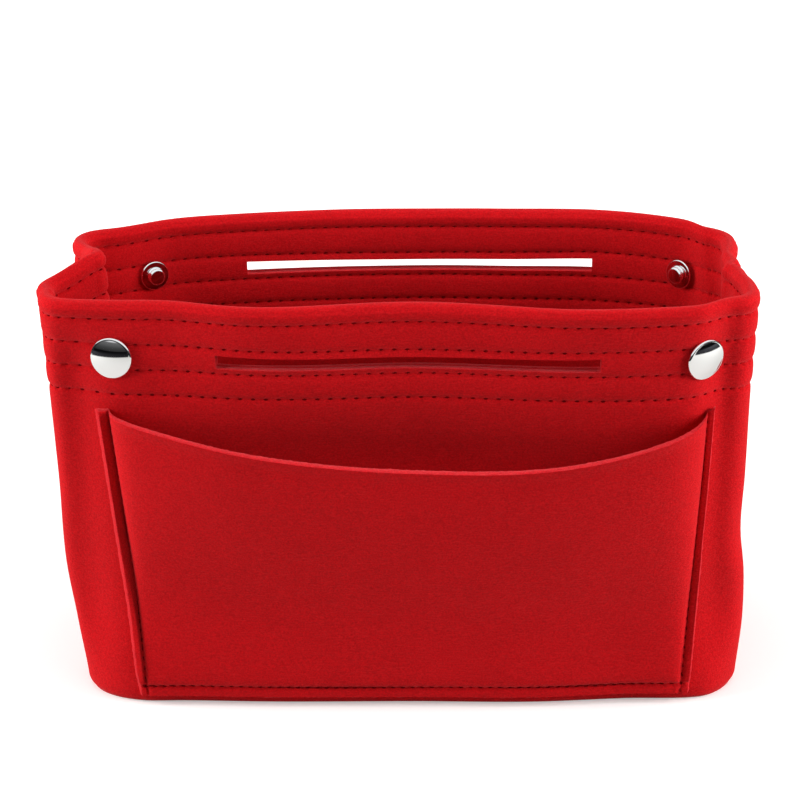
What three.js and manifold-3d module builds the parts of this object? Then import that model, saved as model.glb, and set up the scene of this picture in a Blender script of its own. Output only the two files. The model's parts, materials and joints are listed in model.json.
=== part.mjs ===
// Felt organizer insert for a handbag: two long walls with a quilted double-layer band at the rim,
// joined by end gussets that fold inwards down their middle, with pockets, hand slits and snap fasteners.
// Millimetres, +Z up, front towards -Y, origin at the middle of the underside.
import * as THREE from 'three';
import { mergeVertices } from 'three/addons/utils/BufferGeometryUtils.js';
import Module from 'manifold-3d';

const wasm = await Module();
wasm.setup();

const degrees = Math.PI / 180;

// Body
const height = 152;
const rimHalfWidth = 125;
const halfDepth = 42; // centre plane to a wall's outer face, where its corners begin
const cornerRadius = 15;
const sideTilt = 2 * degrees; // ends lean out towards the rim
const baseLean = 5 * degrees; // slope of a wall's bow where it meets the corner, at the base
const frontLean = 3 * degrees; // the same at the front wall's rim
const rearLean = 19 * degrees; // and at the rear wall's, which bows out further
const restFold = 20 * degrees; // inward turn of each gusset half as the organizer stands
const felt = 2.3;
const gap = 0.3; // kept between pieces that touch
const overrun = 5; // how far a cutter passes its work

// Band at the rim
const rowCount = 4;
const rowInset = 6.3; // rim to the highest stitch row
const rowPitch = 9.2;
const furrowDepth = 0.6;
const furrowHalfHeight = 1.6;
const facingDrop = 40; // rim to the turned-in layer's cut edge
const rollTurn = 72 * degrees; // how far the rim's rounding goes before its flat crown
const rollSteps = 3;

// Hand slit
const slitInset = 60.5; // rim's end to the slit's end
const slitHeight = 4.9;
const slitArch = 0.3; // rise of the slit's upper edge at its middle
const slitBelowRow = 2.3; // second stitch row to the slit's upper edge

// Outer pockets
const pocketFoot = 3.6; // underside of the organizer to the pocket's lower edge
const pocketTopInset = 17.5; // rim's end to the pocket's side at the mouth
const pocketFootInset = 25.5;
const pocketDrop = 39; // rim to the pocket's corners
const pocketSag = 15; // how far the mouth's middle lies below its corners
const pocketFlange = 3.5; // flat sewn edge outside the seam
const pocketMouth = 10; // clear space between the pocket and the wall at the mouth

// Inner pockets
const linerFoot = 4.5;
const linerInset = 43; // rim's end to the inner pocket's side
const linerDrop = 68; // rim to the inner pocket's corners
const linerSag = 6;
const linerMouth = 8;
const linerCompartments = 2; // parted by a sewn line

// Snap fasteners
const snapInset = 23; // rim's end to the snap's axis
const snapDrop = 20; // rim to the snap's axis
const capRadius = 7.5;
const capEdge = 0.9; // height of the cap's rolled edge
const capCrown = 1.5; // rise of the dome above the rolled edge
const postRadius = 1.8;
const postReach = 1.8; // how far the post stands into the socket or stud
const flareRadius = 2.7;
const flareHeight = 0.6;
const socketRadius = 6;
const socketHeight = 3.2;
const socketFloor = 0.8;
const socketBore = 3.6;
const socketLip = 0.3; // how far the mouth's lip stands into the bore
const studFlangeRadius = 5.5;
const studFlange = 0.9;
const studNeckRadius = 2.8;
const studHeadRadius = 3.2;
const studHeight = 3.4;
const studEdge = 0.5;

// Facets
const cornerSteps = 5;
const spanSteps = 14;
const slitSteps = 5;
const plainRows = 5; // strips of a wall below its band
const pocketColumns = 20;
const pocketRows = 7;
const latheSides = 20;
const domeSteps = 3;

const stack = 2 * felt + gap; // wall and facing together
const foot = felt + gap; // walls stand on the base panel
const foldHalfDepth = halfDepth - cornerRadius; // centre plane to a gusset's outer fold line
const hookLevel = height - stack / 2; // underside of the rim's roll
const slitHalfLength = rimHalfWidth - slitInset;
const snapX = rimHalfWidth - snapInset;
const stitchRows = Array.from({ length: rowCount }, (_, i) => height - rowInset - rowPitch * (rowCount - 1 - i));

const redFelt = { color: 0xb80f1b, roughness: 0.95, metalness: 0 };
const shadedFelt = { color: 0x9c0c16, roughness: 0.95, metalness: 0 };
const chrome = { color: 0xd9dadc, roughness: 0.12, metalness: 1 };

function piece(name, geometry, look) {
  const material = new THREE.MeshStandardMaterial({ ...look, flatShading: true });
  const mesh = new THREE.Mesh(geometry, material);
  mesh.name = name;
  return mesh;
}

function closed(geometry) {
  geometry.deleteAttribute('normal');
  geometry.deleteAttribute('uv');
  return mergeVertices(geometry);
}

function toSolid(geometry) {
  const whole = closed(geometry);
  const vertProperties = new Float32Array(whole.attributes.position.array);
  const triVerts = new Uint32Array(whole.index.array);
  return new wasm.Manifold(new wasm.Mesh({ numProp: 3, vertProperties, triVerts }));
}

function fromSolid(solid) {
  const mesh = solid.getMesh();
  const geometry = new THREE.BufferGeometry();
  geometry.setAttribute('position', new THREE.BufferAttribute(mesh.vertProperties, mesh.numProp));
  geometry.setIndex(new THREE.BufferAttribute(mesh.triVerts, 1));
  return geometry;
}

function cut(geometry, cutters) {
  const solid = cutters.reduce((work, cutter) => work.subtract(toSolid(cutter)), toSolid(geometry));
  return fromSolid(solid);
}

// A sheet of felt from a unit box: columns run along it, rows up it, and each of its two faces has its own place
function sheet(columnCount, rowTotal, place) {
  const geometry = closed(new THREE.BoxGeometry(1, 1, 1, columnCount, rowTotal, 1));
  const position = geometry.attributes.position;
  for (let i = 0; i < position.count; i += 1) {
    const column = Math.round((position.getX(i) + 0.5) * columnCount);
    const row = Math.round((position.getY(i) + 0.5) * rowTotal);
    const point = place(column, row, position.getZ(i) > 0);
    position.setXYZ(i, point.x, point.y, point.z);
  }
  return geometry;
}

// A wall's sections, as matching outer and inner lines of depth and height from the foot to the crown
function plain(depth) {
  const top = stitchRows[0] - furrowHalfHeight;
  return Array.from({ length: plainRows }, (_, i) => ({ depth, z: THREE.MathUtils.lerp(foot, top, i / plainRows) }));
}

function furrowed(crestDepth, furrow) {
  return stitchRows.flatMap((row) => [
    { depth: crestDepth, z: row - furrowHalfHeight },
    { depth: crestDepth + furrow, z: row },
    { depth: crestDepth, z: row + furrowHalfHeight },
  ]);
}

function rollLine(side) {
  const radius = stack / 2;
  return Array.from({ length: rollSteps }, (_, i) => {
    const turn = (rollTurn * (i + 1)) / rollSteps;
    return { depth: radius + side * radius * Math.cos(turn), z: hookLevel + radius * Math.sin(turn) };
  });
}

const wallSection = {
  outer: [
    ...plain(0),
    ...furrowed(0, furrowDepth),
    { depth: 0, z: hookLevel - gap },
    { depth: 0, z: hookLevel + gap },
    ...rollLine(-1),
  ],
  inner: [
    ...plain(felt),
    ...furrowed(felt, 0),
    { depth: felt, z: hookLevel },
    { depth: stack, z: hookLevel },
    ...rollLine(1),
  ],
};

const facingSection = {
  outer: [
    { depth: felt + gap, z: height - facingDrop },
    ...furrowed(felt + gap, 0),
    { depth: felt + gap, z: hookLevel - gap },
  ],
  inner: [
    { depth: stack, z: height - facingDrop },
    ...furrowed(stack, -furrowDepth),
    { depth: stack, z: hookLevel - gap },
  ],
};

// Plan of a wall at a height: a shallow bow between two round corners that end at the gussets' fold lines
function plan(z, rimLean) {
  const lean = THREE.MathUtils.lerp(baseLean, rimLean, z / height);
  const halfWidth = rimHalfWidth - (height - z) * Math.tan(sideTilt);
  const centreX = halfWidth - cornerRadius;
  const bowHalfWidth = centreX + cornerRadius * Math.sin(lean);
  return { lean, centreX, bowHalfWidth };
}

// span runs from -1 to 1 across the bow, and turn from 0 to 1 round the corner beyond its end
function wallPoint(rimLean, span, turn, depth, z) {
  const { lean, centreX, bowHalfWidth } = plan(z, rimLean);
  const side = Math.sign(span);
  const facing = turn > 0
    ? side * THREE.MathUtils.lerp(lean, Math.PI / 2, turn)
    : Math.atan(Math.tan(lean) * span);
  const normal = new THREE.Vector3(Math.sin(facing), -Math.cos(facing), 0);
  const bow = (bowHalfWidth * Math.tan(lean)) / 2;
  const surface = turn > 0
    ? new THREE.Vector3(side * centreX, -foldHalfDepth, z).addScaledVector(normal, cornerRadius)
    : new THREE.Vector3(
      span * bowHalfWidth,
      -foldHalfDepth - cornerRadius * Math.cos(lean) - bow * (1 - span * span),
      z,
    );
  return { point: surface.addScaledVector(normal, -depth), facing };
}

const wallColumns = [
  ...Array.from({ length: cornerSteps }, (_, i) => ({ span: -1, turn: 1 - i / cornerSteps })),
  ...Array.from({ length: spanSteps + 1 }, (_, i) => ({ span: (2 * i) / spanSteps - 1, turn: 0 })),
  ...Array.from({ length: cornerSteps }, (_, i) => ({ span: 1, turn: (i + 1) / cornerSteps })),
];

function wallSheet(section, rimLean) {
  return sheet(wallColumns.length - 1, section.outer.length - 1, (column, row, isOuter) => {
    const { span, turn } = wallColumns[column];
    const { depth, z } = (isOuter ? section.outer : section.inner)[row];
    return wallPoint(rimLean, span, turn, depth, z).point;
  });
}

function slitCutter() {
  const top = stitchRows[rowCount - 2] - slitBelowRow;
  const outline = new THREE.Shape();
  outline.moveTo(-slitHalfLength, top - slitHeight);
  outline.lineTo(slitHalfLength, top - slitHeight);
  outline.lineTo(slitHalfLength, top);
  outline.quadraticCurveTo(0, top + 2 * slitArch, -slitHalfLength, top);
  const extent = { depth: 2 * halfDepth, bevelEnabled: false, curveSegments: slitSteps };
  const cutter = new THREE.ExtrudeGeometry(outline, extent);
  cutter.rotateX(Math.PI / 2);
  cutter.translate(0, -halfDepth / 2, 0);
  return cutter;
}

function snapSeat(side, rimLean) {
  const z = height - snapDrop;
  const span = (side * snapX) / plan(z, rimLean).bowHalfWidth;
  return wallPoint(rimLean, span, 0, 0, z);
}

// A turned piece stands on +Y, so this turns it to look out of the wall and sets it on the snap's axis
function seatOnWall(object, side, rimLean) {
  const { point, facing } = snapSeat(side, rimLean);
  object.rotation.set(Math.PI, 0, facing, 'ZYX');
  object.position.copy(point);
  return object;
}

function postHoleCutter(side, rimLean) {
  const reach = stack + 2 * overrun;
  const cutter = new THREE.CylinderGeometry(postRadius + gap, postRadius + gap, reach, latheSides);
  cutter.translate(0, -stack / 2, 0);
  const holder = seatOnWall(new THREE.Object3D(), side, rimLean);
  holder.updateMatrix();
  return cutter.applyMatrix4(holder.matrix);
}

function wallCutters(rimLean) {
  return [slitCutter(), postHoleCutter(-1, rimLean), postHoleCutter(1, rimLean)];
}

// A pocket panel hugs the wall at its seams and stands off it towards its sagging mouth
function pocketSheet(form, rimLean) {
  const direction = form.inside ? 1 : -1;
  const seat = form.inside ? felt + gap : -gap;
  const flangeShare = pocketFlange / form.topHalfWidth;
  return sheet(pocketColumns, pocketRows, (column, row, isOuter) => {
    const across = (2 * column) / pocketColumns - 1;
    const rise = row / pocketRows;
    const mouth = form.cornerHeight - form.sag * (1 - across * across);
    const z = THREE.MathUtils.lerp(form.foot, mouth, rise);
    const halfWidth = THREE.MathUtils.lerp(form.footHalfWidth, form.topHalfWidth, rise);
    const betweenSeams = THREE.MathUtils.clamp(across / (1 - flangeShare), -1, 1);
    const compartment = ((betweenSeams + 1) / 2) * form.compartments;
    const fromSeam = 2 * (compartment - Math.floor(compartment)) - 1;
    const puff = form.mouth * Math.sqrt(1 - fromSeam ** 4) * Math.sin((rise * Math.PI) / 2) ** 2;
    const near = seat + direction * puff;
    const far = near + direction * felt;
    const depth = isOuter ? Math.min(near, far) : Math.max(near, far);
    const span = (across * halfWidth) / plan(z, rimLean).bowHalfWidth;
    return wallPoint(rimLean, span, 0, depth, z).point;
  });
}

const outerPocket = {
  inside: false,
  foot: pocketFoot,
  footHalfWidth: rimHalfWidth - pocketFootInset,
  topHalfWidth: rimHalfWidth - pocketTopInset,
  cornerHeight: height - pocketDrop,
  sag: pocketSag,
  mouth: pocketMouth,
  compartments: 1,
};
const innerPocket = {
  inside: true,
  foot: linerFoot,
  footHalfWidth: rimHalfWidth - linerInset,
  topHalfWidth: rimHalfWidth - linerInset,
  cornerHeight: height - linerDrop,
  sag: linerSag,
  mouth: linerMouth,
  compartments: linerCompartments,
};

function turned(outline) {
  const points = outline.map(([radius, along]) => new THREE.Vector2(radius, along));
  return closed(new THREE.LatheGeometry(points, latheSides));
}

// Snap profiles run outwards from the wall's outer face, so what lies behind the felt is below zero
function capProfile(flare) {
  const back = -stack - gap;
  const end = back - postReach;
  const flareTop = back - socketFloor - gap;
  const rolled = flare > postRadius
    ? [[flare, flareTop - flareHeight], [flare, flareTop], [postRadius, flareTop]]
    : [[postRadius, end]];
  const dome = Array.from({ length: domeSteps }, (_, i) => {
    const share = (i + 1) / domeSteps;
    const turn = (share * Math.PI) / 2;
    return [capRadius * Math.cos(turn), gap + capEdge + capCrown * Math.sin(turn)];
  });
  return [
    [0, rolled[0][1]],
    ...rolled,
    [postRadius, gap],
    [capRadius - capEdge / 2, gap],
    [capRadius, gap + capEdge / 2],
    [capRadius, gap + capEdge],
    ...dome.slice(0, -1),
    [0, gap + capEdge + capCrown],
  ];
}

function socketProfile() {
  const seat = -stack - gap;
  const hole = postRadius + gap;
  return [
    [hole, seat],
    [hole, seat - socketFloor],
    [socketBore, seat - socketFloor],
    [socketBore, seat - socketHeight + socketLip],
    [socketBore - socketLip, seat - socketHeight],
    [socketRadius - socketLip, seat - socketHeight],
    [socketRadius, seat - socketHeight + socketLip],
    [socketRadius, seat],
    [hole, seat],
  ];
}

function studProfile() {
  const seat = -stack - gap;
  const bore = postRadius + gap;
  return [
    [0, seat - postReach - gap],
    [bore, seat - postReach - gap],
    [bore, seat],
    [studFlangeRadius, seat],
    [studFlangeRadius, seat - studFlange],
    [studNeckRadius, seat - studFlange],
    [studNeckRadius, seat - studHeight + 3 * studEdge],
    [studHeadRadius, seat - studHeight + 2 * studEdge],
    [studHeadRadius, seat - studHeight + studEdge],
    [studHeadRadius - studEdge, seat - studHeight],
    [0, seat - studHeight],
  ].reverse();
}

// One long side of the organizer, built as the front
function longSide(end, rimLean, sideNames, mate) {
  const group = new THREE.Group();
  const cutters = wallCutters(rimLean);
  group.add(piece(`${end}_wall`, cut(wallSheet(wallSection, rimLean), cutters), redFelt));
  group.add(piece(`${end}_facing`, cut(wallSheet(facingSection, rimLean), cutters), shadedFelt));
  group.add(piece(`${end}_pocket`, pocketSheet(outerPocket, rimLean), redFelt));
  group.add(piece(`${end}_inner_pocket`, pocketSheet(innerPocket, rimLean), shadedFelt));
  for (const side of [-1, 1]) {
    const name = sideNames[side];
    const isSocket = mate === 'socket';
    const cap = turned(capProfile(isSocket ? flareRadius : postRadius));
    const back = turned(isSocket ? socketProfile() : studProfile());
    group.add(seatOnWall(piece(`${end}_cap_${name}`, cap, chrome), side, rimLean));
    group.add(seatOnWall(piece(`${end}_${mate}_${name}`, back, chrome), side, rimLean));
  }
  return group;
}

// Gusset half in its own frame: X along it, the fold line at the stack's inner face on Z, outer face towards -Y.
// Both ends are mitred so that the fold and the crease are closed as the organizer stands.
const gussetLength = (foldHalfDepth - stack * Math.sin(restFold)) / Math.cos(restFold);

function gussetSheet(section, direction) {
  const slope = Math.tan(restFold);
  const square = gap / Math.cos(restFold);
  return sheet(1, section.outer.length - 1, (column, row, isOuter) => {
    const { depth, z } = (isOuter ? section.outer : section.inner)[row];
    const start = square - (stack - depth) * slope;
    const end = gussetLength + depth * slope - square / 2;
    const reach = (column === 0) === (direction > 0) ? start : end;
    return new THREE.Vector3(direction * reach, depth - stack, z / Math.cos(sideTilt));
  });
}

function gussetHalf(side, end, name) {
  const direction = side * end > 0 ? -1 : 1;
  const baseHalfWidth = rimHalfWidth - height * Math.tan(sideTilt);
  const leaning = new THREE.Group();
  leaning.position.set(side * (baseHalfWidth - stack), end * foldHalfDepth, 0);
  leaning.rotation.y = side * sideTilt;
  const folded = new THREE.Group();
  folded.rotation.z = (side * Math.PI) / 2 + direction * restFold;
  folded.add(piece(`${name}_panel`, gussetSheet(wallSection, direction), redFelt));
  folded.add(piece(`${name}_facing`, gussetSheet(facingSection, direction), shadedFelt));
  leaning.add(folded);
  return leaning;
}

// The base panel follows the outer line of the walls and the gussets' creases
function basePanel() {
  const footPoint = (rimLean) => ({ span, turn }) => wallPoint(rimLean, span, turn, 0, foot).point;
  const front = wallColumns.map(footPoint(frontLean));
  const back = wallColumns.map(footPoint(rearLean));
  const creaseInset = stack * (1 - Math.cos(restFold)) + gussetLength * Math.sin(restFold);
  const creaseX = plan(foot, frontLean).centreX + cornerRadius - creaseInset;
  const outline = new THREE.Shape([
    ...front.map((point) => new THREE.Vector2(point.x, point.y)),
    new THREE.Vector2(creaseX, 0),
    ...back.map((point) => new THREE.Vector2(-point.x, -point.y)),
    new THREE.Vector2(-creaseX, 0),
  ]);
  return new THREE.ExtrudeGeometry(outline, { depth: felt, bevelEnabled: false });
}

const organizer = new THREE.Group();
organizer.add(longSide('front', frontLean, { '-1': 'left', 1: 'right' }, 'socket'));
const rear = longSide('rear', rearLean, { '-1': 'right', 1: 'left' }, 'stud');
rear.rotation.z = Math.PI;
organizer.add(rear);
organizer.add(piece('base_panel', closed(basePanel()), shadedFelt));
organizer.add(gussetHalf(-1, -1, 'left_gusset_front'));
organizer.add(gussetHalf(-1, 1, 'left_gusset_rear'));
organizer.add(gussetHalf(1, -1, 'right_gusset_front'));
organizer.add(gussetHalf(1, 1, 'right_gusset_rear'));

export default organizer;
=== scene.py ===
import json
import math

import bpy
import numpy as np
from mathutils import Matrix, Vector

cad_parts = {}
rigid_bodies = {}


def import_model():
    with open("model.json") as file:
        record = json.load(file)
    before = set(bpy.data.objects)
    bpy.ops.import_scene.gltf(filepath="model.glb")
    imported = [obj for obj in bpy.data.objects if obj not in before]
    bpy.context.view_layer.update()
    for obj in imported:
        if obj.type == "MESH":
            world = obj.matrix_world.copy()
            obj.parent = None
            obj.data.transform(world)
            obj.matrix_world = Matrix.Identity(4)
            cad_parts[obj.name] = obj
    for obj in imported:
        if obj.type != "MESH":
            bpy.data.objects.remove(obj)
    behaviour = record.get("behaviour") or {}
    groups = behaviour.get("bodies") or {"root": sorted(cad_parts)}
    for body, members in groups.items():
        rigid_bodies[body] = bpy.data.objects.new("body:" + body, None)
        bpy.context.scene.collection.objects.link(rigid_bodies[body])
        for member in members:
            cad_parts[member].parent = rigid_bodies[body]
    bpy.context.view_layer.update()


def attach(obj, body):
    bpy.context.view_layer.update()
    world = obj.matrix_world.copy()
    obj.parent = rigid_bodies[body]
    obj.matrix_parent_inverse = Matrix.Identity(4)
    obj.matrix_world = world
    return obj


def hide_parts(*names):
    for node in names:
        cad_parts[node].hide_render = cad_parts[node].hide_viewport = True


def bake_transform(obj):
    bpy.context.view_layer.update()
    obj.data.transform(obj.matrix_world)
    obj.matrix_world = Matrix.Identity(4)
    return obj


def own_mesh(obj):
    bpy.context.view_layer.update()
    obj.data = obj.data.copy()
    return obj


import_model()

MM = 0.001
DEGREE = math.pi / 180
FRONT, REAR = -1, 1

# Body, the same sizes as the solids have
HEIGHT = 152 * MM
RIM_HALF_WIDTH = 125 * MM
FOLD_HALF_DEPTH = 27 * MM
CORNER_RADIUS = 15 * MM
SIDE_TILT = 2 * DEGREE
BASE_LEAN = 5 * DEGREE
RIM_LEAN = {FRONT: 3 * DEGREE, REAR: 19 * DEGREE}
REST_FOLD = 20 * DEGREE
FELT = 2.3 * MM
GAP = 0.3 * MM  # between pieces that touch
STACK = 2 * FELT + GAP
FOOT = FELT + GAP
CORNER_POINTS = 60
SPAN_POINTS = 401

# Band at the rim
ROWS = [145.7 * MM, 136.5 * MM, 127.3 * MM, 118.1 * MM]
FACING_FOOT = 112 * MM
VALLEY = 0.50 * MM  # depth of a stitched valley
VALLEY_WIDTH = 1.0 * MM
PUCKER = 0.60 * MM  # how much deeper it is at each needle hole
CREST = 0.32 * MM  # how far a padded strip stands proud
ROLL_LEVEL = HEIGHT - STACK / 2  # where the rim begins to turn over
CROWN_RISE = 1.5 * MM  # how far above it the padding dies away
STITCH = 4.5 * MM
STITCH_COLUMNS = 4  # columns to a stitch

# Hand slit
SLIT_HALF_LENGTH = 66.5 * MM
SLIT_TOP = 134.3 * MM
SLIT_FOOT = 129.4 * MM
SLIT_MIDDLE = (SLIT_TOP + SLIT_FOOT) / 2
LIP_SAG = 1.0 * MM  # how far the strips hang at the middle of the slit

# Pockets
POCKET = {
    "inside": False,
    "foot": 4.2 * MM,
    "seam_level": 7.8 * MM,
    "foot_half_width": 99.5 * MM,
    "top_half_width": 107.5 * MM,
    "corner_height": 113 * MM,
    "sag": 16 * MM,
    "mouth": 11.5 * MM,
    "flange": 3.5 * MM,
    "skew": 0.16,
    "curl": (2.8 * MM, 1.5 * MM),
    "mesh": (261, 110),
    "compartments": 1,
}
SLACK_POCKET = {**POCKET, "mouth": 6 * MM, "sag": 15 * MM, "skew": 0.0, "curl": (1.5 * MM, 2.0 * MM)}
INNER_POCKET = {
    "inside": True,
    "foot": 4.5 * MM,
    "seam_level": 7.5 * MM,
    "foot_half_width": 82 * MM,
    "top_half_width": 82 * MM,
    "corner_height": 84 * MM,
    "sag": 6 * MM,
    "mouth": 8 * MM,
    "flange": 3.0 * MM,
    "skew": 0.0,
    "curl": (0.0, 0.0),
    "mesh": (181, 60),
    "compartments": 2,
}

# Snap fasteners
SNAP_X = 102 * MM
SNAP_LEVEL = 132 * MM

# Spacing of the outline's levels
LEVEL_STEP = 2 * MM
SMOOTHING = 3 * MM  # how softly the outer line turns

RED = (0.56, 0.0055, 0.0085)
NAME = {FRONT: "front", REAR: "rear"}


def hand(end, side):
    """Left or right as seen from the front, of a side in a wall's own frame"""
    return "left" if (side if end == FRONT else -side) < 0 else "right"


def hump(value, centre, width):
    """Rises smoothly to 1 at the centre and dies away beyond the width"""
    return np.exp(-(((value - centre) / width) ** 2))


def smooth_step(value, low, high):
    t = np.clip((value - low) / (high - low), 0, 1)
    return t * t * (3 - 2 * t)


def floats(*values):
    """Arrays of one shape from numbers and arrays"""
    return np.broadcast_arrays(*(np.asarray(value, float) for value in values))


def placed(name, data):
    """A new object of the scene"""
    obj = bpy.data.objects.new(name, data)
    bpy.context.scene.collection.objects.link(obj)
    return obj


# Camera


def camera():
    """The photograph's view: target, distance, pitch, yaw, roll and lens found by fitting its corners"""
    target = Vector((-2.97 * MM, -40 * MM, 116.03 * MM))
    distance = 798.5 * MM
    pitch, yaw, roll = 23.24 * DEGREE, 3.40 * DEGREE, -1.25 * DEGREE
    back = Vector((math.sin(yaw) * math.cos(pitch), -math.cos(yaw) * math.cos(pitch), math.sin(pitch)))
    right = (-back).cross(Vector((0, 0, 1))).normalized()
    up = right.cross(-back)
    c, s = math.cos(roll), math.sin(roll)
    data = bpy.data.cameras.new("camera")
    data.sensor_width = 36
    data.lens = 103.56
    data.clip_start = 0.01
    data.clip_end = 50
    obj = placed("camera", data)
    turn = Matrix((right * c + up * s, up * c - right * s, back)).transposed().to_4x4()
    obj.matrix_world = Matrix.Translation(target + back * distance) @ turn
    bpy.context.scene.camera = obj


camera()

# Outline of a long side


def outline(end, z):
    """Outer line of one long side at height z, from its left crease to its right one"""
    lean = BASE_LEAN + (RIM_LEAN[end] - BASE_LEAN) * z / HEIGHT
    half_width = RIM_HALF_WIDTH - (HEIGHT - z) * math.tan(SIDE_TILT)
    centre_x = half_width - CORNER_RADIUS
    bow_half_width = centre_x + CORNER_RADIUS * math.sin(lean)
    bow = bow_half_width * math.tan(lean) / 2
    gusset = (FOLD_HALF_DEPTH - STACK * math.sin(REST_FOLD)) / math.cos(REST_FOLD)
    crease_x = half_width - STACK * (1 - math.cos(REST_FOLD)) - gusset * math.sin(REST_FOLD)
    turn = np.linspace(math.pi / 2, lean, CORNER_POINTS)
    corner = np.column_stack([
        -centre_x - CORNER_RADIUS * np.sin(turn),
        -FOLD_HALF_DEPTH - CORNER_RADIUS * np.cos(turn),
    ])
    span = np.linspace(-1, 1, SPAN_POINTS)[1:-1]
    middle = np.column_stack([
        span * bow_half_width,
        -FOLD_HALF_DEPTH - CORNER_RADIUS * math.cos(lean) - bow * (1 - span**2),
    ])
    left = np.vstack([[[-crease_x, 0]], corner])
    right = left[::-1] * [-1, 1]
    return np.vstack([left, middle, right])


def line_length(points):
    return np.concatenate([[0], np.cumsum(np.hypot(*np.diff(points, axis=0).T))])


def resampled(points, count):
    along = line_length(points)
    even = np.linspace(0, along[-1], count)
    return np.column_stack([np.interp(even, along, points[:, i]) for i in range(2)])


def softened(points, sigma):
    """Gaussian smoothing along the line that leaves both ends where they are"""
    reach = int(4 * sigma)
    head = 2 * points[0] - points[reach:0:-1]
    tail = 2 * points[-1] - points[-2:-reach - 2:-1]
    padded = np.vstack([head, points, tail])
    weights = np.exp(-0.5 * (np.arange(-reach, reach + 1) / sigma) ** 2)
    weights /= weights.sum()
    return np.column_stack([np.convolve(padded[:, i], weights, "valid") for i in range(2)])


rim_length = line_length(outline(FRONT, HEIGHT))[-1]
STITCH_COUNT = int(round(rim_length / STITCH / 2)) * 2
COLUMNS = STITCH_COUNT * STITCH_COLUMNS + 1
COLUMN_PITCH = rim_length / (COLUMNS - 1)
LEVELS = int(round((HEIGHT + 4 * MM) / LEVEL_STEP)) + 1


def rings(end):
    """Even points along the outer line at each level, and the direction inwards at each"""
    line = np.stack([
        softened(resampled(outline(end, i * LEVEL_STEP), COLUMNS), SMOOTHING / COLUMN_PITCH)
        for i in range(LEVELS)
    ])
    tangent = np.gradient(line, axis=1)
    tangent /= np.linalg.norm(tangent, axis=2, keepdims=True)
    return line, np.stack([-tangent[..., 1], tangent[..., 0]], axis=2)


RING_LINE, RING_INWARD = {}, {}
for end in (FRONT, REAR):
    RING_LINE[end], RING_INWARD[end] = rings(end)


def on_ring(values, u, z):
    """Values at fractional columns u and heights z, between the ring's own points"""
    level = np.clip(z / LEVEL_STEP, 0, LEVELS - 1.001)
    column = np.clip(u, 0, COLUMNS - 1.001)
    row, low = level.astype(int), column.astype(int)
    up, across = (level - row)[..., None], (column - low)[..., None]
    below = values[row, low] * (1 - across) + values[row, low + 1] * across
    above = values[row + 1, low] * (1 - across) + values[row + 1, low + 1] * across
    return below * (1 - up) + above * up


def skin(end, u, z, depth):
    """Points of a long side in the front's frame: column u, height z, depth inwards from its outer face"""
    u, z, depth = floats(u, z, depth)
    inward = on_ring(RING_INWARD[end], u, z)
    inward /= np.linalg.norm(inward, axis=-1, keepdims=True)
    flat = on_ring(RING_LINE[end], u, z) + inward * depth[..., None]
    return np.concatenate([flat, z[..., None]], axis=-1)


def column_at(end, x, z):
    """Column of the ring that lies at x, within the span between the corners"""
    x, z = floats(x, z)
    u = (COLUMNS - 1) / 2 + x / COLUMN_PITCH
    for _ in range(6):
        error = on_ring(RING_LINE[end], u, z)[..., 0] - x
        u = u - error / COLUMN_PITCH
    return u


# How use has shaped it

# How far each rim bows beyond the solids' even bow, at places along it in its own frame
RIM_SHIFT = {
    FRONT: np.array([
        [-124, -1], [-100, -3], [-84, -3], [-60, 2], [5, -3.6],
        [60, 5], [85, 4.2], [100, 2.4], [114, -3], [124, -1],
    ]) * MM,
    REAR: np.array([
        [-113, 0], [-98, 4], [-70, 7], [-30, 3.8], [0, 2.6],
        [35, 2.8], [70, 4], [95, 4], [113, 0],
    ]) * MM,
}
RISE_POWER = {FRONT: 3.5, REAR: 2.0}  # how late the bow grows on its way up
# How far the left and right ends are pushed sideways, height by height
LEFT_PUSH = {
    FRONT: np.array([
        [0, -1.6], [25, -4.2], [44, -6.3], [82, -5.4], [120, -4.9], [152, -4.8],
    ]) * MM,
    REAR: np.array([[0, -1.6], [44, -4.0], [82, -4.0], [120, -3.6], [152, -3.2]]) * MM,
}
RIGHT_PUSH = {
    FRONT: np.array([
        [0, -1.8], [25, -0.4], [44, -1.3], [60, -3.6], [82, -3.7], [120, -4.2], [152, -3.8],
    ]) * MM,
    REAR: np.array([[0, -1.6], [44, -2.2], [82, -2.8], [120, -4.6], [152, -7.5]]) * MM,
}
# How far each half of a gusset swells between its corner and its crease, at the rim
BULGE = {FRONT: (6.0 * MM, 2.5 * MM), REAR: (2.0 * MM, 2.5 * MM)}
# How far each half may stand out, by the way from its crease, so that the two can fold together
FOLD_ROOM = {
    FRONT: np.array([[0, 0], [1.5, 0], [27, 12]]) * MM,
    REAR: np.array([[0, 0], [17, 0.4], [27, 3.5], [42, 8]]) * MM,
}
ROOM_SOFTNESS = 3 * MM
CREASE_LIFT = 5 * MM  # how much higher the rim stands where the left gusset is creased
# How far the front foot stands out beyond the solids' line, at places along it
FOOT_SHIFT = np.array([
    [-118, 1.5], [-98, 4.6], [-84, 3.8], [-55, 3.4], [0, 2.8],
    [47, 4.6], [76, 4.2], [105, 5.4], [118, 3],
]) * MM
BASE_TWIST = 0.032  # slope of the front foot against the X axis
HOLLOW = 6.0 * MM  # how far the front wall is pressed in above its pocket
HOLLOW_LEVEL = 94 * MM
HOLLOW_REACH = 17 * MM
HOLLOW_HALF_WIDTH = 96 * MM
UNEVEN = 0.35 * MM  # depth of the felt's slow waves


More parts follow.
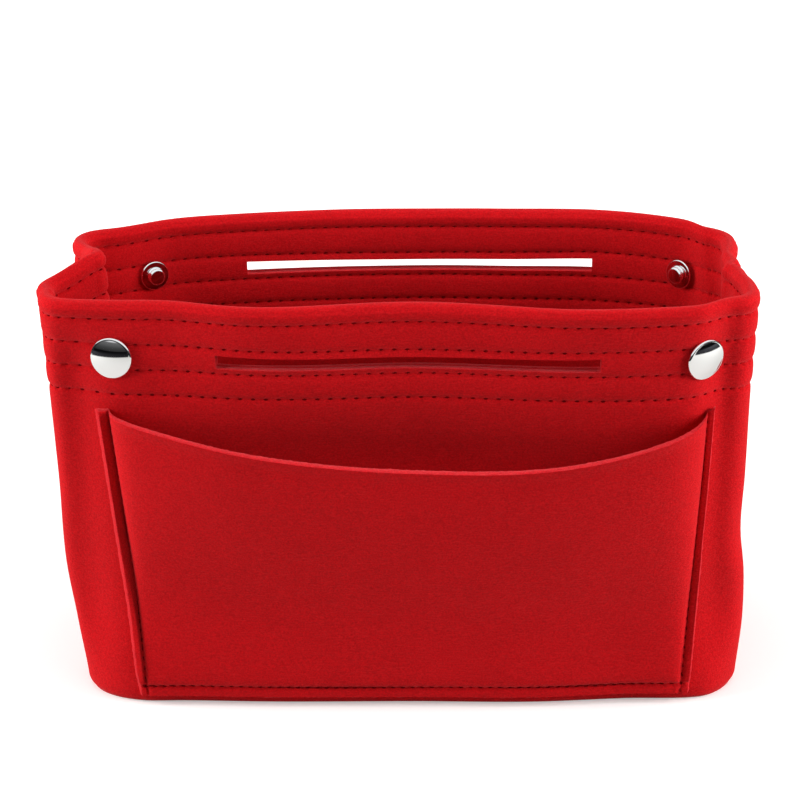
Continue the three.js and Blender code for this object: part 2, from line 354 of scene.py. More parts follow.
def smooth_curve(table, x):
    """Smooth curve through a few points"""
    xs, ys = table[:, 0], table[:, 1]
    slopes = np.gradient(ys, xs)
    slopes[[0, -1]] = 0
    i = np.clip(np.searchsorted(xs, x) - 1, 0, len(xs) - 2)
    width = xs[i + 1] - xs[i]
    t = np.clip((x - xs[i]) / width, 0, 1)
    return (
        (1 + 2 * t) * (1 - t) ** 2 * ys[i]
        + t * (1 - t) ** 2 * width * slopes[i]
        + t * t * (3 - 2 * t) * ys[i + 1]
        + t * t * (t - 1) * width * slopes[i + 1]
    )


rng = np.random.default_rng(7)
WAVES = [
    (rng.uniform(20, 90), rng.uniform(20, 90), rng.uniform(0, 6.28), rng.uniform(-1, 1))
    for _ in range(10)
]


def unevenness(x, z, end):
    """Slow waves that keep the felt from being dead flat"""
    total = 0
    for across, up, phase, slant in WAVES:
        total = total + np.sin(x * across * (1 + 0.3 * slant) + z * up * slant + phase + 2 * end)
    return UNEVEN * total / math.sqrt(len(WAVES))


def smooth_min(a, b, softness):
    """The lesser of two values, with the change from one to the other rounded off"""
    softness = np.maximum(softness, 1e-9)
    share = np.clip(0.5 + 0.5 * (b - a) / softness, 0, 1)
    return b * (1 - share) + a * share - softness * share * (1 - share)


def corner_ease(x, z, end):
    """How far the wall turns in early on its way into a corner, below the rim"""
    if end == FRONT:
        right, left = 5.0 * hump(x, 110 * MM, 10 * MM), 4.2 * hump(x, -113 * MM, 7 * MM)
        ease = np.where(x > 0, right, left)
    else:
        ease = 3.0 * hump(np.abs(x), 112 * MM, 8 * MM)
    return ease * MM * (0.25 + 0.75 * smooth_step(-z, -152 * MM, -124 * MM)) * smooth_step(z, 0, 35 * MM)


def bow(x, y, z, end, hollow):
    """How far a wall stands out beyond the solids' even bow"""
    height = np.clip(z / HEIGHT, 0, 1.1)
    calm = np.clip((FOLD_HALF_DEPTH + 8 * MM + y) / (-8 * MM), 0, 1)
    from_snap = np.hypot(np.abs(x) - SNAP_X, z - SNAP_LEVEL)
    beside_snap = np.clip((from_snap - 9 * MM) / (12 * MM), 0, 1)
    shift = smooth_curve(RIM_SHIFT[end], x) * height ** RISE_POWER[end] - corner_ease(x, z, end)
    shift = shift + unevenness(x, z, end) * np.clip(z / (20 * MM), 0, 1) * calm * beside_snap
    if end == FRONT:
        if hollow:
            pressed = np.cos(np.clip(x / HOLLOW_HALF_WIDTH, -1, 1) * math.pi / 2) ** 2
            shift = shift - HOLLOW * hump(z, HOLLOW_LEVEL, HOLLOW_REACH) * pressed
        shift = shift - BASE_TWIST * x * (1 - smooth_step(z, 0, 60 * MM))
        shift = shift + smooth_curve(FOOT_SHIFT, x) * (1 - smooth_step(z, 0, 45 * MM))
    return shift * smooth_step(-y, 0, 24 * MM)


def end_push(world_x, y, z, end):
    """How far an end's corner and gusset are pushed along X, kept to the room that the fold leaves"""
    push = np.where(world_x < 0, smooth_curve(LEFT_PUSH[end], z), smooth_curve(RIGHT_PUSH[end], z))
    push = push * smooth_step(np.abs(world_x), 98 * MM, 120 * MM) * smooth_step(-y, 0, 14 * MM)
    across = np.clip(-y / FOLD_HALF_DEPTH, 0, 1)
    swell = np.where(world_x < 0, -BULGE[end][0], BULGE[end][1]) * np.sin(math.pi * across)
    swell = swell * np.clip(z / HEIGHT, 0, 1.1)
    push = push + swell * smooth_step(np.abs(world_x), 98 * MM, 106 * MM)
    room = np.interp(-y, FOLD_ROOM[end][:, 0], FOLD_ROOM[end][:, 1])
    outwards = np.sign(world_x)
    return outwards * smooth_min(outwards * push, room, np.minimum(room, ROOM_SOFTNESS))


def crease_lift(world_x, y, z):
    """How much higher the felt stands towards the left crease"""
    lift = np.where(world_x < 0, CREASE_LIFT, 0) * smooth_step(z, 40 * MM, HEIGHT) * hump(y, 0, 13 * MM)
    return lift * smooth_step(np.abs(world_x), 85 * MM, 100 * MM)


def worn(points, end, hollow=True):
    """Moves points of a long side as use has, with or without the hollow that its pocket's room leaves"""
    points = points.copy()
    x, y, z = (points[..., i].copy() for i in range(3))
    sense = 1 if end == FRONT else -1
    points[..., 0] = x + sense * end_push(sense * x, y, z, end)
    points[..., 1] = y - bow(x, y, z, end, hollow)
    points[..., 2] = z + crease_lift(sense * x, y, z)
    return points


def to_world(points, end):
    """From a long side's own frame, which faces the front, to the object's"""
    return points if end == FRONT else points * [-1, -1, 1]


# Felt and metal


def node(tree, kind, **settings):
    made = tree.nodes.new(kind)
    for key, value in settings.items():
        if key in made.inputs:
            made.inputs[key].default_value = value
        else:
            setattr(made, key, value)
    return made


def feed(tree, sockets, values):
    """Gives each socket its link, colour or number"""
    for socket, value in zip(sockets, values):
        if isinstance(value, bpy.types.NodeSocket):
            tree.links.new(value, socket)
        else:
            socket.default_value = (*value, 1) if isinstance(value, tuple) else value


def wire(tree, made, settings):
    """Gives inputs by name their link, colour or number"""
    feed(tree, [made.inputs[name] for name in settings], settings.values())


def mixed(tree, blend, factor, a, b):
    made = tree.nodes.new("ShaderNodeMix")
    made.data_type = "RGBA"
    made.blend_type = blend
    feed(tree, [made.inputs[i] for i in (0, 6, 7)], (factor, a, b))
    return made.outputs[2]


def arithmetic(tree, operation, *values):
    made = node(tree, "ShaderNodeMath", operation=operation)
    feed(tree, made.inputs, values)
    return made.outputs[0]


def ramp(tree, source, stops):
    made = tree.nodes.new("ShaderNodeValToRGB")
    tree.links.new(source, made.inputs[0])
    while len(made.color_ramp.elements) < len(stops):
        made.color_ramp.elements.new(0.5)
    for element, (position, grey) in zip(made.color_ramp.elements, stops):
        element.position = position
        element.color = (grey, grey, grey, 1)
    return made.outputs[0]


def noise(tree, place, scale, detail, roughness=0.6, distortion=0.0):
    settings = {"Scale": scale, "Detail": detail, "Roughness": roughness, "Distortion": distortion}
    made = node(tree, "ShaderNodeTexNoise", **settings)
    tree.links.new(place, made.inputs["Vector"])
    return made.outputs["Fac"]


def stretched(tree, place, turn, scale):
    made = node(tree, "ShaderNodeMapping")
    made.inputs["Rotation"].default_value = turn
    made.inputs["Scale"].default_value = scale
    tree.links.new(place, made.inputs["Vector"])
    return made.outputs["Vector"]


def bumped(tree, shader, height, strength, distance):
    bump = node(tree, "ShaderNodeBump", Strength=strength, Distance=distance)
    tree.links.new(height, bump.inputs["Height"])
    tree.links.new(bump.outputs["Normal"], shader.inputs["Normal"])


def new_material(name):
    """A material with its node tree, its shader and the piece's own coordinates"""
    material = bpy.data.materials.new(name)
    material.use_nodes = True
    tree = material.node_tree
    place = tree.nodes.new("ShaderNodeTexCoord").outputs["Object"]
    return material, tree, tree.nodes["Principled BSDF"], place


# Turn and scale of the stretched noise that draws each set of fibres
STRANDS = (
    ((0.3, 0.5, 0.6), (260, 2600, 2600)),
    ((1.2, 0.2, 2.1), (260, 2600, 2600)),
    ((0.1, 1.3, 1.2), (260, 2600, 2600)),
    ((2.2, 0.7, 2.9), (320, 3200, 3200)),
)


def felt(name, colour, lift=1.0, fuzz=1.0):
    """Pressed wool: matted fibres in all directions, pale flecks, cloudy tone and a soft sheen"""
    material, tree, shader, place = new_material(name)
    clouds = noise(tree, place, 55, 4)
    mottle = noise(tree, place, 1500, 3, 0.65)
    grain = noise(tree, place, 2300, 3, 0.7)
    fibres = []
    for turn, scale in STRANDS:
        strand = noise(tree, stretched(tree, place, turn, scale), 1.0, 2, 0.5, 0.6)
        fibres.append(ramp(tree, strand, [(0.60, 0.0), (0.72, 1.0)]))
    strands = fibres[0]
    for other in fibres[1:]:
        strands = arithmetic(tree, "MAXIMUM", strands, other)
    tone = arithmetic(tree, "MULTIPLY_ADD", clouds, 0.18, 0.91)
    cloudy = mixed(tree, "MULTIPLY", 1.0, colour, tone)
    speck = ramp(tree, mottle, [(0.34, 0.80), (0.50, 1.0), (0.66, 1.18)])
    specked = mixed(tree, "MULTIPLY", 1.0, cloudy, speck)
    pale = tuple(min(1.0, channel * 1.25 + 0.010) for channel in colour)
    share = arithmetic(tree, "MULTIPLY", strands, 0.34 * fuzz)
    relief = arithmetic(tree, "MULTIPLY_ADD", mottle, 0.9, arithmetic(tree, "MULTIPLY", strands, 0.45))
    relief = arithmetic(tree, "MULTIPLY_ADD", grain, 0.35, relief)
    bumped(tree, shader, relief, 0.55, 0.00030 * lift)
    wire(tree, shader, {
        "Base Color": mixed(tree, "MIX", share, specked, pale),
        "Roughness": arithmetic(tree, "MULTIPLY_ADD", grain, 0.16, 0.82),
        "Specular IOR Level": 0.06,
        "Sheen Weight": 0.20 * fuzz,
        "Sheen Roughness": 0.5,
        "Sheen Tint": (1.0, 0.28, 0.29),
    })
    return material


def plain(name, colour, roughness, metallic=0.0, scratch=0.0, specular=0.5):
    """One colour, with a roughness that handling has made uneven"""
    material, tree, shader, place = new_material(name)
    wire(tree, shader, {
        "Base Color": colour,
        "Metallic": metallic,
        "Specular IOR Level": specular,
        "Roughness": arithmetic(tree, "MULTIPLY_ADD", noise(tree, place, 500, 4), scratch, roughness),
    })
    return material


def twisted(name, colour):
    """Sewing thread: a fine ply that turns along each stitch, its colour darker between the plies and
    lighter on them as painted shade and highlight
    """
    material, tree, shader, place = new_material(name)
    ply = node(tree, "ShaderNodeTexWave", Scale=900.0, Distortion=1.5)
    ply.bands_direction = "DIAGONAL"
    tree.links.new(place, ply.inputs["Vector"])
    # Colour darkened between the plies and lightened on them: painted shade and painted highlight of the
    # twist
    tone = ramp(tree, ply.outputs["Fac"], [(0.0, 0.62), (0.6, 1.12)])
    bumped(tree, shader, ply.outputs["Fac"], 0.4, 0.0001)
    thread_colour_with_painted_ply_shade = mixed(tree, "MULTIPLY", 1.0, colour, tone)
    wire(tree, shader, {"Base Color": thread_colour_with_painted_ply_shade, "Roughness": 0.7, "Specular IOR Level": 0.15})
    return material


FELT_LOOK = felt("red_felt", RED)
# A slightly darker copy of the felt for the faces inside the walls, the inner pockets and the base: painted
# shade
SHADED_INSIDE_LOOK = felt("red_felt_inside_painted_shade", tuple(c * 0.93 for c in RED))
# Lighter felt for cut edges: partly the fuzzier fibres of a cut edge, partly a painted highlight where the
# edges catch the light
CUT_EDGE_HIGHLIGHT_LOOK = felt("cut_felt_edge_painted_highlight", (0.60, 0.012, 0.018), 1.4, 1.3)
# Dark needle-hole dimples: painted shade of the holes
HOLE_SHADE_LOOK = plain("needle_hole_painted_shade", (0.155, 0.0013, 0.0024), 0.95, specular=0.05)
THREAD_LOOK = twisted("red_thread", (0.34, 0.003, 0.006))
CHROME_LOOK = plain("polished_chrome", (0.86, 0.87, 0.89), 0.035, 1.0, 0.03)
STEEL_LOOK = plain("snap_steel", (0.62, 0.62, 0.63), 0.24, 1.0, 0.12)

# Mesh helpers


def mesh_object(name, vertices, faces, materials, face_look=None, normals=None):
    """A smooth piece; face_look says which of its materials each face has"""
    mesh = bpy.data.meshes.new(name)
    mesh.from_pydata(np.asarray(vertices).tolist(), [], np.asarray(faces).tolist())
    for material in materials:
        mesh.materials.append(material)
    if face_look is not None:
        mesh.polygons.foreach_set("material_index", np.asarray(face_look, np.int32))
    mesh.polygons.foreach_set("use_smooth", np.ones(len(mesh.polygons), bool))
    mesh.update()
    if normals is not None:
        mesh.normals_split_custom_set_from_vertices(np.asarray(normals).tolist())
    return placed(name, mesh)


def grid_faces(rows, columns, start=0):
    base = start + np.arange(rows - 1)[:, None] * columns + np.arange(columns - 1)[None, :]
    return np.stack([base, base + 1, base + columns + 1, base + columns], axis=-1)


def grid_normals(points):
    across = np.gradient(points, axis=1)
    up = np.gradient(points, axis=0)
    normal = np.cross(across, up)
    size = np.linalg.norm(normal, axis=-1, keepdims=True)
    return normal / np.maximum(size, 1e-12)


def tube_faces(rows, sides):
    """Faces round a tube made of rings"""
    here = np.arange(rows - 1)[:, None] * sides + np.arange(sides)
    beside = np.roll(here, -1, axis=1)
    return np.stack([here, beside, beside + sides, here + sides], axis=-1).reshape(-1, 4)


def gusset_blend(obj):
    """Bakes the placement of felt that runs round a corner into its mesh"""
    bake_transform(obj)


# Shell


def padded_depth(z, u):
    """Depth of the band's outer face: strips swell between valleys that pucker at each hole"""
    z, u = floats(z, u)
    at_hole = (0.5 + 0.5 * np.cos(2 * math.pi * u / STITCH_COLUMNS)) ** 2
    depth = np.zeros(z.shape)
    for level in ROWS:
        away = np.abs(z - level) / VALLEY_WIDTH
        depth = depth + VALLEY * np.exp(-(away**1.5)) + PUCKER * at_hole * np.exp(-((away * 1.6) ** 2))
    crown = ROLL_LEVEL + CROWN_RISE
    edges = [*ROWS[::-1], crown]
    for low, high in zip(edges[:-1], edges[1:]):
        t = np.clip((z - low) / (high - low), 0, 1)
        depth = depth - CREST * (1.5 if high == crown else 1.0) * np.sin(math.pi * t) ** 0.8
    return depth * np.clip((crown - z) / CROWN_RISE, 0, 1)


# Steps between mesh rows up from the foot, away from a stitch row and away from the slit's edge
TUCK_STEPS = np.array([0.25, 0.7, 1.4, 2.3, 3.6, 5.2, 7.5]) * MM
VALLEY_STEPS = np.array([0, 0.35, 0.75, 1.3, 2.1, 3.2]) * MM
LIP_STEP = 1.3 * MM
BAND_FOOT = ROWS[3] - VALLEY_STEPS[-1]


def band_levels():
    """Heights of the band's mesh rows, close together in each valley"""
    levels = [*(ROWS[3] - VALLEY_STEPS)]
    for low, high in zip(ROWS[::-1][:-1], ROWS[::-1][1:]):
        levels += [*(low + VALLEY_STEPS[1:])]
        if not low < SLIT_TOP < high:
            levels += [(low + high) / 2]
        levels += [*(high - VALLEY_STEPS)]
    levels += [*(ROWS[0] + VALLEY_STEPS[1:]), ROLL_LEVEL]
    levels = [z for z in levels if not SLIT_FOOT - 0.2 * MM < z < SLIT_TOP + 0.2 * MM]
    levels += [SLIT_FOOT, SLIT_FOOT + LIP_STEP, SLIT_MIDDLE, SLIT_TOP - LIP_STEP, SLIT_TOP]
    return np.unique(np.round(np.array(levels), 7))


BAND_LEVELS = band_levels()
WALL_LEVELS = np.concatenate([TUCK_STEPS, np.linspace(11 * MM, BAND_FOOT, 32)[:-1]])
ROLL_TURNS = np.linspace(0, math.pi, 15)[1:-1]
# Turns about the crease that close the felt's inner side where it folds, and how much less deep each lies
FAN_TURNS = [(10 * DEGREE, 0), (19.8 * DEGREE, 0)]
FAN_TURNS += [(turn * DEGREE, 0.15 * MM) for turn in (21, 35, 50, 65, 85)]
FANS = len(FAN_TURNS)


def profile():
    """Rows of the shell from the outer foot over the rim to the inner foot: height, depth and face"""
    rows = [(z, 0.0, "outer") for z in (*WALL_LEVELS, *BAND_LEVELS)]
    radius = STACK / 2
    for turn in ROLL_TURNS:
        rows.append((ROLL_LEVEL + radius * math.sin(turn), radius - radius * math.cos(turn), "roll"))
    rows += [(z, STACK, "inner") for z in BAND_LEVELS[::-1]]
    rows += [(FACING_FOOT + 0.25 * MM, STACK, "edge"), (FACING_FOOT, STACK - 0.3 * MM, "edge")]
    rows += [(FACING_FOOT, FELT + 0.2 * MM, "edge"), (FACING_FOOT - 0.1 * MM, FELT, "edge")]
    rows += [(z, FELT, "inner_wall") for z in WALL_LEVELS[::-1] if z > FOOT]
    rows += [(FOOT - GAP, FELT, "inner_wall")]
    return rows


ROW_LEVEL, ROW_DEPTH, KIND = (np.array(values) for values in zip(*profile()))


def tuck(z, u):
    """How far the outer face curls in under itself at the foot, more at the corners"""
    corner = hump(np.minimum(u, COLUMNS - 1 - u) * COLUMN_PITCH, 38 * MM, 12 * MM)
    radius = (3.0 + 1.2 * corner) * MM
    below = np.clip(radius - z, 0, None)
    return (radius - np.sqrt(np.clip(radius**2 - below**2, 0, None))) * 0.8


def slit_lift(x, z):
    """Lets the slit's upper lip sag towards the lower one, with the strips beside it"""
    arch = np.clip(1 - (x / SLIT_HALF_LENGTH) ** 2, 0, 1)
    above = np.clip((ROWS[0] - z) / (ROWS[0] - SLIT_TOP), 0, 1) * (z >= SLIT_MIDDLE)
    below = np.clip((z - ROWS[3]) / (SLIT_FOOT - ROWS[3]), 0, 1) * (z < SLIT_MIDDLE)
    return -LIP_SAG * arch * (above + 0.2 * below)


def shell_points(end):
    """The shell's grid of points, with a fan of columns about the crease at either end"""
    u = np.arange(COLUMNS)[None, :]
    z = ROW_LEVEL[:, None]
    pad = padded_depth(z, u)
    kind = KIND[:, None]
    depth = ROW_DEPTH[:, None] + np.where(kind == "outer", pad + tuck(z, u), 0)
    depth = depth - np.where(kind == "inner", pad, 0)
    points = skin(end, u, np.broadcast_to(z, depth.shape), depth)
    points[..., 2] += slit_lift(points[..., 0], points[..., 2])
    fans = []
    for column, sense in ((0, 1), (COLUMNS - 1, -1)):
        crease = np.full(len(ROW_LEVEL), float(column))
        pivot = on_ring(RING_LINE[end], crease, ROW_LEVEL)
        x, y = on_ring(RING_INWARD[end], crease, ROW_LEVEL).T
        fan = []
        for turn, less in FAN_TURNS:
            c, s = math.cos(turn * sense), math.sin(turn * sense)
            direction = np.column_stack([x * c - y * s, x * s + y * c])
            reach = np.clip(depth[:, column] - less, 0.02 * MM, None)
            fan.append(np.column_stack([pivot + direction * reach[:, None], ROW_LEVEL]))
        fans.append(np.stack(fan, axis=1))
    points = np.concatenate([fans[0][:, ::-1], points, fans[1]], axis=1)
    return worn(points, end)


def slit_columns(end):
    """First and last column of the slit"""
    x = on_ring(RING_LINE[end], np.arange(COLUMNS, dtype=float), np.full(COLUMNS, SLIT_MIDDLE))[:, 0]
    inside = np.flatnonzero(np.abs(x) <= SLIT_HALF_LENGTH + 0.2 * COLUMN_PITCH)
    return inside[0], inside[-1]


def row_at(level, face):
    return int(np.flatnonzero((np.abs(ROW_LEVEL - level) < 1e-7) & (KIND == face))[0])


def shell(end):
    """The felt of a wall with its facing and gusset halves, in a left and a right piece"""
    points = shell_points(end)
    world, normals = to_world(points, end), to_world(grid_normals(points), end)
    rows, columns = points.shape[:2]
    faces = grid_faces(rows, columns)
    keep = np.ones(faces.shape[:2], bool)
    keep[np.ix_(KIND[:-1] == "outer", np.r_[0:FANS, columns - 1 - FANS:columns - 1])] = False
    first, last = slit_columns(end)
    for face in ("outer", "inner"):
        low, high = sorted((row_at(SLIT_FOOT, face), row_at(SLIT_TOP, face)))
        keep[low:high, FANS + first:FANS + last] = False
    look = np.zeros(faces.shape[:2], int)
    # Inner faces take the darker copy of the felt, which is painted shade
    look[np.isin(KIND[:-1], ("inner", "inner_wall"))] = 1
    # The facing's cut edge takes the lighter felt, partly a painted highlight
    look[KIND[:-1] == "edge"] = 2
    middle = FANS + (COLUMNS - 1) // 2
    for side, columns_kept in ((-1, slice(0, middle)), (1, slice(middle, columns - 1))):
        mask = np.zeros(keep.shape, bool)
        mask[:, columns_kept] = True
        mask &= keep
        used, local = np.unique(faces[mask], return_inverse=True)
        obj = mesh_object(
            f"{NAME[end]}_shell_{hand(end, side)}",
            world.reshape(-1, 3)[used],
            local.reshape(-1, 4),
            [FELT_LOOK, SHADED_INSIDE_LOOK, CUT_EDGE_HIGHLIGHT_LOOK],
            look[mask],
            normals.reshape(-1, 3)[used],
        )
        gusset = f"{hand(end, side)}_gusset_{NAME[end]}"
        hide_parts(f"{NAME[end]}_wall", f"{NAME[end]}_facing", f"{gusset}_panel", f"{gusset}_facing")
        gusset_blend(obj)
    slit_lining(points, end)


def slit_lining(points, end):
    """The felt's cut thickness round the slit"""
    first, last = (FANS + column for column in slit_columns(end))
    along = list(range(first, last + 1))
    loops = []
    for face, step in (("outer", 1), ("inner", -1)):
        foot, top = row_at(SLIT_FOOT, face), row_at(SLIT_TOP, face)
        rise = list(range(foot, top + step, step))
        loop = [points[foot, c] for c in along] + [points[r, last] for r in rise[1:]]
        loop += [points[top, c] for c in along[-2::-1]] + [points[r, first] for r in rise[-2:0:-1]]
        loops.append(np.array(loop))
    outer, inner = loops
    shares = np.array([0, 0.06, 0.25, 0.47, 0.5, 0.53, 0.75, 0.94, 1])
    dips = np.array([0, 0.12, 0.16, 0.1, -0.25, 0.1, 0.16, 0.12, 0]) * MM
    grid = []
    for share, dip in zip(shares, dips):
        loop = outer + (inner - outer) * share
        loop[:, 2] += np.sign(SLIT_MIDDLE - loop[:, 2]) * dip
        grid.append(loop)
    closed = np.stack(grid)
    closed = np.concatenate([closed, closed[:, :1]], axis=1)
    faces = grid_faces(*closed.shape[:2]).reshape(-1, 4)[:, ::-1]
    obj = mesh_object(f"{NAME[end]}_slit_edge", to_world(closed, end).reshape(-1, 3), faces, [CUT_EDGE_HIGHLIGHT_LOOK])
    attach(obj, f"{NAME[end]}_body")


for end in (FRONT, REAR):
    shell(end)

# Stitches


THREAD_RADIUS = 0.22 * MM
THREAD_POINTS = 7
THREAD_SIDES = 6
MARK_LENGTH = 0.80 * MM
MARK_WIDTH = 0.44 * MM
MARK_SIDES = 10
PANEL_STITCH = STITCH * 0.8


class Stitching:
    """Collects the thread and the dark needle-hole dimples, coloured as painted shade, of the seams that
    move together
    """

    def __init__(self):
        self.thread, self.marks = [], []

    def add(self, start, end, up_start, up_end):
        share = np.linspace(0.15, 0.85, THREAD_POINTS)[:, None]
        path = start + (end - start) * share
        up = up_start + (up_end - up_start) * share
        up /= np.linalg.norm(up, axis=1, keepdims=True)
        along = (end - start) / np.linalg.norm(end - start)
        arch = np.sin(np.linspace(0, math.pi, THREAD_POINTS))
        path = path + up * (arch**0.6 * 0.50 * MM - 0.30 * MM)[:, None]
        across = np.cross(along, up)
        width = THREAD_RADIUS * (0.75 + 0.25 * arch)
        turns = np.linspace(0, 2 * math.pi, THREAD_SIDES + 1)[:-1]
        self.thread.append(path[:, None] + width[:, None, None] * (
            np.cos(turns)[None, :, None] * across[:, None] + np.sin(turns)[None, :, None] * up[:, None]
        ))
        self.mark(start, up_start, along)

    def mark(self, place, up, along):
        """A dimple where the thread enters the felt, coloured dark as painted shade of the needle hole"""
        up = up / np.linalg.norm(up)
        across = np.cross(along, up)
        turns = np.linspace(0, 2 * math.pi, MARK_SIDES + 1)[:-1, None]
        place = place + up * 0.42 * MM
        rim = place + along * MARK_LENGTH * np.cos(turns) + across * MARK_WIDTH * np.sin(turns)
        self.marks.append(np.vstack([rim, [place - up * 0.35 * MM]]))

    def objects(self, name):
        ring = np.arange(MARK_SIDES)
        cone = np.column_stack([ring, np.roll(ring, -1), np.full(MARK_SIDES, MARK_SIDES)])
        made = []
        for kind, pieces, faces, look in (
            ("thread", self.thread, tube_faces(THREAD_POINTS, THREAD_SIDES), THREAD_LOOK),
            ("painted_hole_shades", self.marks, cone, HOLE_SHADE_LOOK),
        ):
            points = np.stack(pieces).reshape(len(pieces), -1, 3)
            faces = faces[None] + (np.arange(len(pieces)) * points.shape[1])[:, None, None]
            faces = faces.reshape(-1, faces.shape[-1])
            made.append(mesh_object(f"{name}_{kind}", points.reshape(-1, 3), faces, [look]))
        return made


def band_line(level, face, u, end):
    """Places and outward directions along a stitch row of the band"""
    z = np.full(u.shape, level)
    pad = padded_depth(z, u)
    depth = pad if face == "outer" else STACK - pad
    points = skin(end, u, z, depth)
    points[..., 2] += slit_lift(points[..., 0], points[..., 2])
    points = worn(points, end)
    inward = on_ring(RING_INWARD[end], u, z)
    up = np.concatenate([inward, np.zeros((len(u), 1))], axis=1) * (-1 if face == "outer" else 1)
    return to_world(points, end), to_world(up, end), points


def near_snap(place):
    """Whether a place on the outer face lies under a snap"""
    reach = math.hypot(abs(place[0]) - SNAP_X, place[2] - SNAP_LEVEL)
    return reach < 6.6 * MM and place[1] < -FOLD_HALF_DEPTH


def band_stitches():
    for end in (FRONT, REAR):
        for side in (-1, 1):
            work = Stitching()
            half = STITCH_COUNT // 2
            first, last = (0, half) if side < 0 else (half, STITCH_COUNT)
            u = np.arange(first, last + 1) * float(STITCH_COLUMNS)
            u[0] = max(u[0], 0.8)
            u[-1] = min(u[-1], COLUMNS - 1.8)
            for level in ROWS:
                for face in ("outer", "inner"):
                    places, ups, local = band_line(level, face, u, end)
                    for i in range(len(u) - 1):
                        if not near_snap((local[i] + local[i + 1]) / 2):
                            work.add(places[i], places[i + 1], ups[i], ups[i + 1])
            for obj in work.objects(f"{NAME[end]}_band_{hand(end, side)}"):
                gusset_blend(obj)


band_stitches()

# Pockets


SEAM_ROWS = 6  # mesh rows below a pocket's lower seam
FRAY = 0.10 * MM  # how uneven a cut edge is


def pocket_faces(form, end, columns, rows):
    """Near and far faces of a pocket panel; near is the one against the wall"""
    foot, seam, top = form["foot"], form["seam_level"], form["corner_height"]
    across = np.linspace(-1, 1, columns)[None, :]
    across = 0.35 * across + 0.65 * np.sin(across * math.pi / 2)
    skewed = across - form["skew"] * (1 - across**2)
    mouth = top - form["sag"] * (1 - skewed**2)
    below = foot + (seam - foot) * np.linspace(0, 1, SEAM_ROWS + 1)[:-1, None] * np.ones(columns)
    climb = np.linspace(0, 1, rows - SEAM_ROWS)[:, None]
    climb = climb - 0.9 * np.sin(2 * math.pi * climb) / (2 * math.pi)
    z = np.concatenate([below, seam + (mouth - seam) * climb])
    rise = (z - foot) / (top - foot)
    half_width = form["foot_half_width"] + (form["top_half_width"] - form["foot_half_width"]) * rise
    x = across * half_width
    flange = form["flange"] / form["top_half_width"]
    beyond = np.abs(across) - (1 - flange)
    between = np.clip(across / (1 - flange), -1, 1)
    on_flange = np.abs(between) >= 1
    compartment = (between + 1) / 2 * form["compartments"]
    from_seam = np.where(on_flange, 1, 2 * (compartment - np.floor(compartment)) - 1)
    up_share = np.clip((z - seam) / (mouth - seam), 0, 1)
    puff = form["mouth"] * np.sqrt(np.clip(1 - from_seam**4, 0, 1)) * np.sin(up_share * math.pi / 2) ** 2
    side_gap = (1 - np.abs(from_seam)) * half_width / form["compartments"]
    edge_gap = np.minimum(side_gap, np.clip(z - seam, 0, None))
    puff = puff + 1.5 * MM * (1 - np.exp(-edge_gap / (1.8 * MM)))
    seam_gap = np.minimum(side_gap + np.where(on_flange, beyond * half_width, 0), np.abs(z - seam))
    pucker = 0.75 + 0.25 * np.cos(2 * math.pi * (x + z) / PANEL_STITCH)
    press = 1.25 * MM * pucker * hump(seam_gap, 0, 0.85 * MM)
    curl = np.where(across * (1 if end == FRONT else -1) < 0, *form["curl"])
    curl = curl * np.clip(beyond / flange, 0, 1) ** 1.3
    lip = 0.7 * MM * hump(z, mouth, 2.6 * MM) * np.clip(side_gap / (4 * MM), 0, 1)
    u = column_at(end, x, z)
    stand = puff + curl * smooth_step(z, foot, foot + 12 * MM)
    if form["inside"]:
        near = FELT + 0.05 * MM + stand
        far = near + (FELT + lip - press)
    else:
        near = -0.05 * MM - stand + tuck(z, u)
        far = near - (FELT + lip - press)
    far_u = column_at(end, x - curl * 0.5 * np.sign(across), z) if form["curl"][0] else u
    near_points = worn(skin(end, u, z, near), end, form["inside"])
    far_points = worn(skin(end, far_u, z, far), end, form["inside"])
    return near_points, far_points, across[0]


def felt_panel(name, near, far, looks):
    """A closed piece of felt from its two faces, with rounded and slightly frayed cut edges"""
    rows, columns = near.shape[:2]
    shares = np.array([0.0, 0.08, 0.5, 0.92, 1.0])
    swell = np.array([0.0, 0.14, 0.22, 0.14, 0.0]) * MM
    near_faces = grid_faces(rows, columns).reshape(-1, 4)[:, ::-1]
    far_faces = grid_faces(rows, columns, rows * columns).reshape(-1, 4)
    loop = [(0, c) for c in range(columns)] + [(r, columns - 1) for r in range(1, rows)]
    loop += [(rows - 1, c) for c in range(columns - 2, -1, -1)] + [(r, 0) for r in range(rows - 2, 0, -1)]
    loop = np.array(loop)
    inner = np.clip(loop, 1, [rows - 2, columns - 2])
    a, b = near[loop[:, 0], loop[:, 1]], far[loop[:, 0], loop[:, 1]]
    outward = (a + b) / 2 - (near[inner[:, 0], inner[:, 1]] + far[inner[:, 0], inner[:, 1]]) / 2
    outward /= np.maximum(np.linalg.norm(outward, axis=1, keepdims=True), 1e-9)
    random = np.random.default_rng(len(name) * 31 + rows)
    grid = []
    for share, proud in zip(shares, swell):
        rough = random.normal(0, FRAY, len(loop)) * (0 < share < 1)
        grid.append(a + (b - a) * share + outward * (proud + rough)[:, None])
    grid = np.stack(grid)
    grid = np.concatenate([grid, grid[:, :1]], axis=1)
    edge_faces = grid_faces(*grid.shape[:2], 2 * rows * columns).reshape(-1, 4)
    vertices = np.vstack([near.reshape(-1, 3), far.reshape(-1, 3), grid.reshape(-1, 3)])
    faces = np.vstack([near_faces, far_faces, edge_faces])
    cut = np.arange(len(faces)) >= len(near_faces) + len(far_faces)
    return mesh_object(name, vertices, faces, looks, cut)


